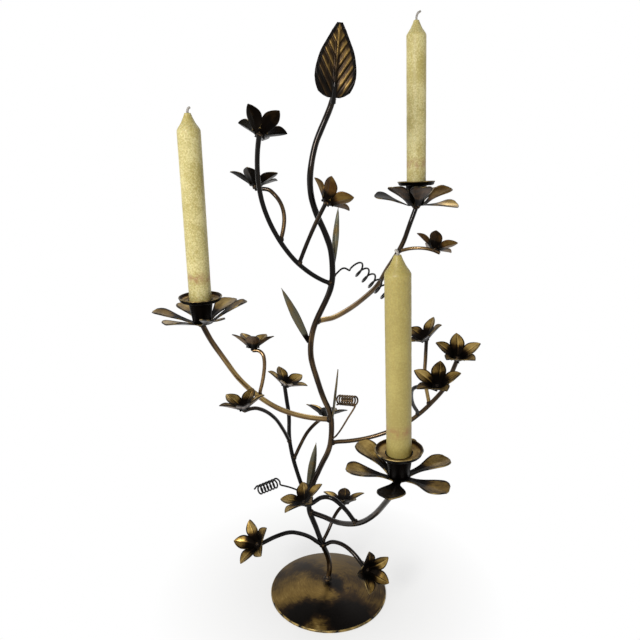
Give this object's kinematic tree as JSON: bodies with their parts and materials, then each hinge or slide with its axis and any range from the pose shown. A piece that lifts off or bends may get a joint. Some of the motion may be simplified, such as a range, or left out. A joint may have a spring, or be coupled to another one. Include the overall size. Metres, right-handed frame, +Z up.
{
  "type": "candelabra",
  "caption": "Table candelabra of bent and welded metal rods like a flowering vine on a domed round dish, with candle sockets in petal collars and lift-out taper candles.",
  "frame": {"origin": "on the floor under the centre of the whole object's bounding box", "axes": "+Z up; -Y faces the viewer of the picture; +X is to that viewer's right"},
  "size_m": [0.3284, 0.3432, 0.6382],
  "materials": {
    "bronze": "satin antique bronze patina",
    "petal_bronze": "brushed antique bronze patina",
    "wax": "frosted wax",
    "cotton": "matte braided cotton"
  },
  "bodies": {
    "frame": {"base_dish": "bronze", "trunk": "bronze", "arm_rod_left": "bronze", "petal_collar_left": "petal_bronze", "candle_socket_left": "bronze", "drip_pan_left": "bronze", "arm_rod_right": "bronze", "petal_collar_right": "petal_bronze", "candle_socket_right": "bronze", "drip_pan_right": "bronze", "arm_rod_front": "bronze", "petal_collar_front": "petal_bronze", "candle_socket_front": "bronze", "drip_pan_front": "bronze", "stem_rod_01": "bronze", "flower_01": "petal_bronze", "stem_rod_02": "bronze", "flower_02": "petal_bronze", "stem_rod_03": "bronze", "flower_03": "petal_bronze", "stem_rod_04": "bronze", "flower_04": "petal_bronze", "stem_rod_05": "bronze", "flower_05": "petal_bronze", "stem_rod_06": "bronze", "flower_06": "petal_bronze", "stem_rod_07": "bronze", "flower_07": "petal_bronze", "stem_rod_08": "bronze", "flower_08": "petal_bronze", "stem_rod_09": "bronze", "flower_09": "petal_bronze", "stem_rod_10": "bronze", "flower_10": "petal_bronze", "stem_rod_11": "bronze", "flower_11": "petal_bronze", "stem_rod_12": "bronze", "flower_12": "petal_bronze", "stem_rod_13": "bronze", "flower_13": "petal_bronze", "stem_rod_14": "bronze", "flower_14": "petal_bronze", "stem_rod_15": "bronze", "flower_15": "petal_bronze", "tendril_01": "bronze", "tendril_02": "bronze", "tendril_03": "bronze", "blade_leaf_01": "petal_bronze", "blade_leaf_02": "petal_bronze", "blade_leaf_03": "petal_bronze", "blade_leaf_04": "petal_bronze", "top_leaf": "petal_bronze"},
    "candle_left": {"candle_left": "wax", "wick_left": "cotton"},
    "candle_right": {"candle_right": "wax", "wick_right": "cotton"},
    "candle_front": {"candle_front": "wax", "wick_front": "cotton"}
  },
  "joints": [
    {"name": "candle_left_lift", "type": "slide", "parent": "frame", "child": "candle_left", "axis": [-0.0153, 0.0085, 0.9998], "range_m": [0, 0.05]},
    {"name": "candle_right_lift", "type": "slide", "parent": "frame", "child": "candle_right", "axis": [-0.0301, 0.0873, 0.9957], "range_m": [0, 0.05]},
    {"name": "candle_front_lift", "type": "slide", "parent": "frame", "child": "candle_front", "axis": [-0.0419, 0, 0.9991], "range_m": [0, 0.05]}
  ]
}
